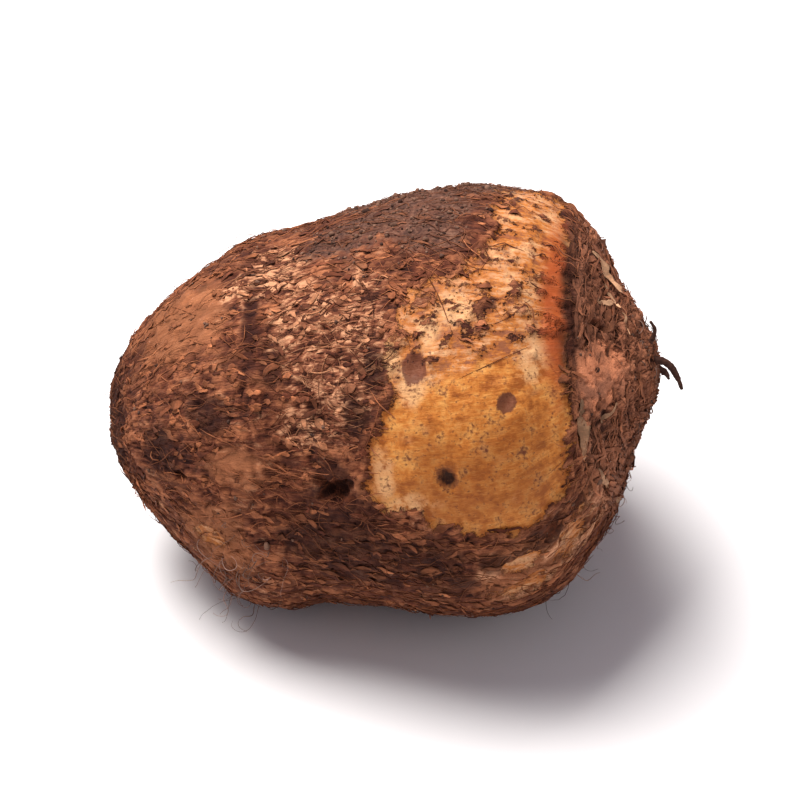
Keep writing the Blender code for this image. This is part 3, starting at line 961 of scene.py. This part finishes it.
def makeCrumbs():
    # crumbs of dry soil: balls of three rings of six points, each squeezed and dented at random
    rng = np.random.default_rng(soilCrumbs["seed"])
    count, rings, sides = (soilCrumbs[key] for key in ("count", "rings", "sides"))

    def likely(station, angle, zone):
        # mostly on the soil, a few on the crown and elsewhere, none on the patch
        wanted = 0.02 + zone["soil"] * 1.6 + zone["crown"] * 0.08
        return wanted * (zone["patch"] < -0.1) * (skinGrid[..., 2] > soilCrumbs["floorGap"])

    station, angle = scatter(rng, count, likely)
    at, normal = readGrid(skinGrid, station, angle)[:, None], readGrid(skinNormal, station, angle)[:, None]
    radius = (soilCrumbs["radius"] * rng.lognormal(0, 0.42, count))[:, None, None]
    polar = np.linspace(0, np.pi, rings + 2)[1:-1]
    turn = np.arange(sides) * 2 * np.pi / sides
    across = np.sin(polar)[:, None, None] * np.stack([np.cos(turn), np.sin(turn)], axis=-1)
    upward = np.broadcast_to(np.cos(polar)[:, None, None], (rings, sides, 1))
    ball = np.concatenate([across, upward], axis=-1).reshape(-1, 3)
    ball = np.vstack([ball, (0, 0, 1), (0, 0, -1)])
    uneven = rng.uniform(0.65, 1.25, (count, len(ball), 1)) * rng.uniform(0.7, 1.2, (count, 1, 3))
    points = at + normal * radius * 0.3 + ball * uneven * radius
    quads, caps = (repeatedFaces(faces, count, len(ball)) for faces in tubeFaces(rings, sides))
    piece = meshFrom("soilCrumbs", points.reshape(-1, 3), quads, caps)
    share = rng.random((count, 1))
    colour = barkTone["soilDark"] * (1 - share) + barkTone["soilPale"] * share
    keepNumbers(piece, "tone", perPoint(piece, colour, count))
    piece.data.materials.append(stripMaterial("drySoil", 1.0, 0.5, 0.0001))


makeCrumbs()
print("soil crumbs made")

crownScraps = {
    "count": 250, "seed": 71, "rings": 9, "sides": 8,
    "length": 4.4, "halfWidth": 0.25, "thick": 0.05, "lift": 0.22, "cup": 0.25,
    "from": (63.6, 65), "to": 70.5,  # stations
    "circling": 0.8,  # share of them that go round the crown
    "pale": 0.07,  # share of them that are pale
    "chosen": (
        (66.6, -21, 6.5, 0.1, 0.55, 0.75, 1), (67.4, -8, 3.6, 0.35, 0.42, 0.5, 1),
        (66.8, 2, 3, -0.5, 0.34, 0.4, 1), (68.6, 6, 2.6, 1.3, 0.34, 0.5, 1),
        (65.2, 14, 4.4, 1.2, 0.4, 0.35, 0), (65.4, 76, 4.6, 1.5, 0.2, 0.3, 0),
        (66.2, 66, 2.2, 0.2, 0.3, 0.3, 0),
    ),  # station, degrees, length, heading, half width, lift, pale or not
}


def makeScraps():
    # torn leaf sheath round the crown: wide thin strips, most of them along the rings, some towards the nub
    rng = np.random.default_rng(crownScraps["seed"])
    count, rings, sides = (crownScraps[key] for key in ("count", "rings", "sides"))

    def likely(station, angle, zone):
        # on the crown, few of them on the nub
        onCrown = smoothStep(*crownScraps["from"], station) * (station < crownScraps["to"])
        return onCrown * (1 - 0.92 * (zone["nub"] > 0.2)) * (skinGrid[..., 2] > 2)

    station, angle = scatter(rng, count, likely)
    length = crownScraps["length"] * rng.lognormal(0, 0.4, count)
    circling = rng.random(count) < crownScraps["circling"]
    heading = np.where(circling, np.pi / 2 + rng.normal(0, 0.2, count), rng.normal(0, 0.4, count))
    heading = np.where(rng.random(count) < 0.5, heading, heading - np.pi * circling)
    lift = crownScraps["lift"] * rng.lognormal(0, 0.6, count)
    pale = rng.random(count) < crownScraps["pale"]
    chosen = np.array(crownScraps["chosen"]).T
    some = slice(chosen.shape[1])
    station[some], length[some], heading[some], lift[some] = chosen[[0, 2, 3, 5]]
    angle[some], pale[some] = np.radians(chosen[1]), chosen[6] > 0
    zone = localZones(station, angle)
    centre, normal, _, _ = alongSkin(station, angle, length, heading, rng.normal(0, 0.3, count), rings)
    t = np.linspace(0, 1, rings)
    waves, turn = rng.uniform(0.5, 1.6, (count, 1)), rng.uniform(0, 6, (count, 1))
    wave = 0.5 + 0.5 * np.sin(2 * np.pi * t * waves + turn)
    rise = 0.05 + lift[:, None] * (0.35 * wave + 0.9 * t**2)
    centre = centre + normal * rise[..., None]
    ragged = 1 + 0.3 * rng.normal(size=(count, rings))
    halfWidth = crownScraps["halfWidth"] * rng.lognormal(0, 0.35, count)[:, None]
    halfWidth = halfWidth * np.clip(np.sin(np.pi * (0.12 + 0.8 * t)) ** 0.5 * ragged, 0.2, 2)
    halfWidth[some] *= (chosen[4] / crownScraps["halfWidth"])[:, None]
    halfThick = np.full((count, rings), crownScraps["thick"])
    piece = ribbons("crownScraps", centre, normal, halfWidth, halfThick, sides, crownScraps["cup"])
    colour = looseTone(rng, zone, 0.4)
    paleTone = barkTone["sheath"] * rng.uniform(0.6, 1.1, (count, 1))
    colour = np.where(pale[:, None], paleTone, colour)
    keepNumbers(piece, "tone", fadedTones(rng, colour, rings, sides, 0.5))
    piece.data.materials.append(stripMaterial("leafSheath", 0.85, 0.5, 0.0001))


makeScraps()
print("crown scraps made")

rootlets = {
    "paths": (
        (
            (-2.6, -0.6, 0.9, 0.80), (-0.2, -0.7, 1.3, 0.60), (1.4, -0.9, 0.8, 0.50),
            (2.5, -1.2, -0.9, 0.40), (3.2, -1.5, -2.7, 0.22),
        ),
        ((-2.6, 0.8, -1.0, 0.70), (-0.3, 1.0, -1.5, 0.52), (1.0, 1.2, -2.6, 0.38), (1.4, 1.3, -3.6, 0.2)),
        ((-3.4, -0.2, 2.2, 0.60), (-1.2, 0.2, 3.4, 0.40), (-0.6, 0.5, 5.2, 0.28), (-1.2, 0.6, 6.6, 0.20)),
    ),  # from the nub's tip: x, y, z and radius
    "rings": 46, "sides": 12,
    "uneven": 0.22,  # how much the thickness varies, of 1
    "wrinkles": 0.25,
}


def throughPoints(points, count):
    # a smooth curve through a few points, read at even steps
    ends = np.vstack([2 * points[:1] - points[1:2], points, 2 * points[-1:] - points[-2:-1]])
    t = np.linspace(0, len(points) - 1.0001, count)
    at = t.astype(int)
    return curveBetween(*(ends[at + ahead] for ahead in range(4)), (t % 1)[:, None])


def makeRootlets():
    # dried rootlets of the crown: bent tapering strands with a wrinkled, ridged surface
    tip = skinGrid[-1].mean(axis=0)
    rings, sides = rootlets["rings"], rootlets["sides"]
    paths = np.stack([throughPoints(np.array(path), rings) for path in rootlets["paths"]])
    centre = paths[..., :3] + tip
    radius = paths[..., 3] * (1 + rootlets["uneven"] * softNoise(centre / 0.5, 301))
    normal = np.broadcast_to(np.array([0.1, 1.0, 0.2]), centre.shape)
    piece = ribbons("crownRootlets", centre, normal, radius, radius * 0.85, sides)
    count = len(piece.data.vertices)
    points = np.zeros(count * 3)
    piece.data.vertices.foreach_get("co", points)
    points = points.reshape(-1, 3) / mm
    ridge = layeredNoise(points / (0.7, 0.25, 0.25), 307)
    inner = np.concatenate([np.concatenate([np.repeat(c, sides, axis=0), c[:1], c[-1:]]) for c in centre])
    points = inner + (points - inner) * (1 + rootlets["wrinkles"] * ridge)[:, None]
    piece.data.vertices.foreach_set("co", (points * mm).ravel())
    # lighter on the wrinkles' crests and darker in their furrows: painted light and shade that follow the
    # wrinkles' own noise
    colour = barkTone["rootlet"] * (1 + 0.8 * np.clip(ridge, -0.6, 1))[:, None]
    keepNumbers(piece, "tone", colour)
    piece.data.materials.append(stripMaterial("driedRootlet", 0.85, 0.5, 0.00008))


makeRootlets()
print("rootlets made")

looseHairs = {
    "seed": 83, "rings": 20, "sides": 5,
    "floorGap": 0.12,
    "curl": 0.28,  # radians that a hair turns in a step, before it is uneven
    "sag": 0.03,  # how much it sinks in a step
    "groups": (
        (34, 17, 116, 6, 24, 7, 0.055), (9, 21, 104, 4, 22, 4.5, 0.05),
        (2, 21, -38, 1, 4, 4.5, 0.06), (30, 70.5, 40, 1.4, 150, 2.6, 0.085),
        (9, 33, -52, 7, 12, 2.4, 0.05), (6, 4, 40, 3, 90, 2.4, 0.07),
        (12, 60, 160, 6, 40, 4, 0.06), (14, 30, 215, 14, 40, 4, 0.06),
    ),  # how many, about which station and degrees, spread of each, length, radius
}


def makeHairs():
    # loose dried hairs: each starts at the skin and is walked outwards in equal steps, whose direction turns
    # about a slowly changing axis and sinks, and which stay above the floor
    rng = np.random.default_rng(looseHairs["seed"])
    rows = [np.tile(group[1:], (group[0], 1)) for group in looseHairs["groups"]]
    middle, degrees, spread, turnSpread, length, radius = np.vstack(rows).T
    count, rings = len(middle), looseHairs["rings"]
    station = np.clip(middle + spread * rng.uniform(-1, 1, count), 0.5, 71.5)
    angle = np.radians(degrees + turnSpread * rng.uniform(-1, 1, count))
    at, normal = readGrid(skinGrid, station, angle), readGrid(skinNormal, station, angle)
    length = length * rng.uniform(0.5, 1.5, count)
    step = (length / (rings - 1))[:, None]
    heading = normal * 0.7 + rng.normal(0, 0.55, (count, 3))
    heading[:, 2] -= 0.15
    spin = rng.normal(0, looseHairs["curl"], (count, 3))
    path = [at - normal * 0.1]
    for _ in range(rings - 1):
        heading = heading / np.linalg.norm(heading, axis=1, keepdims=True)
        after = path[-1] + heading * step
        low = after[:, 2] < looseHairs["floorGap"]
        after[:, 2] = np.maximum(after[:, 2], looseHairs["floorGap"])
        heading[:, 2] = np.where(low, np.abs(heading[:, 2]) * 0.2, heading[:, 2])
        path.append(after)
        heading = heading + np.cross(spin, heading) + rng.normal(0, 0.07, (count, 3))
        heading[:, 2] -= looseHairs["sag"]
        spin = spin * 0.97 + rng.normal(0, 0.05, (count, 3))
    centre = np.stack(path, axis=1)
    t = np.linspace(0, 1, rings)
    thick = radius[:, None] * (1 - 0.6 * t) * rng.uniform(0.7, 1.3, (count, 1))
    upright = np.broadcast_to(np.array([0.3, 0.5, 0.8]), centre.shape)
    piece = ribbons("looseHairs", centre, upright, thick, thick * 0.85, looseHairs["sides"])
    colour = barkTone["looseHair"] * rng.lognormal(0, 0.45, (count, 1))
    keepNumbers(piece, "tone", perPoint(piece, colour, count))
    piece.data.materials.append(stripMaterial("driedHair", 0.8, 0.3, 0.00003))


makeHairs()
print("loose hairs made")


view = {
    "azimuth": 5.0,  # degrees
    "elevation": 42.0,  # degrees
    "distance": 750.0,
    "lens": 262.0,  # focal length
    "aim": (0.5, 0.0, 26.0),
}


def makeCamera():
    # a camera on a long lens, aimed at the middle of the corm
    turn, climb = math.radians(view["azimuth"]), math.radians(view["elevation"])
    away = np.array([math.sin(turn) * math.cos(climb), -math.cos(turn) * math.cos(climb), math.sin(climb)])
    data = bpy.data.cameras.new("camera")
    data.lens = view["lens"]
    data.clip_start = 0.01
    camera = bpy.data.objects.new("camera", data)
    camera.location = (np.array(view["aim"]) + away * view["distance"]) * mm
    camera.rotation_euler = (math.radians(90 - view["elevation"]), 0, turn)
    bpy.context.scene.collection.objects.link(camera)
    bpy.context.scene.camera = camera


studio = {
    "floorTone": (0.86, 0.84, 0.845),
    "floorSize": 6000.0,
    "floorDrop": 0.05,
    "floorRoughness": 0.7,
    "lightsAim": (0, 0, 25),
    "worldTone": (0.92, 0.86, 1.0),
    "worldStrength": 0.25,
    "lights": (
        ("keyLight", (-275, 180, 790), 570, 15.0, (1.0, 0.98, 0.95)),
        ("fillLight", (-250, -700, 620), 800, 0.5, (1.0, 0.98, 0.97)),
        ("sideLight", (650, -250, 420), 500, 0.8, (1.0, 0.98, 0.96)),
    ),  # name, place, width, watts, colour
}


def makeStudio():
    # a pale floor, soft square lights and an even pale surround
    scene = bpy.context.scene
    scene.view_settings.view_transform = "Standard"
    world = bpy.data.worlds.new("surround")
    world.use_nodes = True
    background = world.node_tree.nodes["Background"]
    background.inputs["Color"].default_value = (*studio["worldTone"], 1)
    background.inputs["Strength"].default_value = studio["worldStrength"]
    scene.world = world
    half = studio["floorSize"] / 2
    corners = np.array([(-half, -half), (half, -half), (half, half), (-half, half)])
    corners = np.column_stack([corners, np.full(4, -studio["floorDrop"])])
    mesh = bpy.data.meshes.new("floor")
    mesh.from_pydata((corners * mm).tolist(), [], [(0, 1, 2, 3)])
    floor = bpy.data.objects.new("floor", mesh)
    scene.collection.objects.link(floor)
    material = bpy.data.materials.new("palePaper")
    material.use_nodes = True
    shader = material.node_tree.nodes["Principled BSDF"]
    shader.inputs["Base Color"].default_value = (*studio["floorTone"], 1)
    shader.inputs["Roughness"].default_value = studio["floorRoughness"]
    mesh.materials.append(material)
    for name, place, width, watts, colour in studio["lights"]:
        data = bpy.data.lights.new(name, "AREA")
        data.shape = "SQUARE"
        data.size = width * mm
        data.energy = watts
        data.color = colour
        light = bpy.data.objects.new(name, data)
        place = np.array(place, float) * mm
        light.location = place
        aside, ahead, up = np.array(studio["lightsAim"]) * mm - place
        tilt, turn = math.atan2(math.hypot(aside, ahead), -up), math.atan2(aside, -ahead) + math.pi
        light.rotation_euler = (tilt, 0, turn)
        scene.collection.objects.link(light)


makeCamera()
makeStudio()
print("camera and studio made")
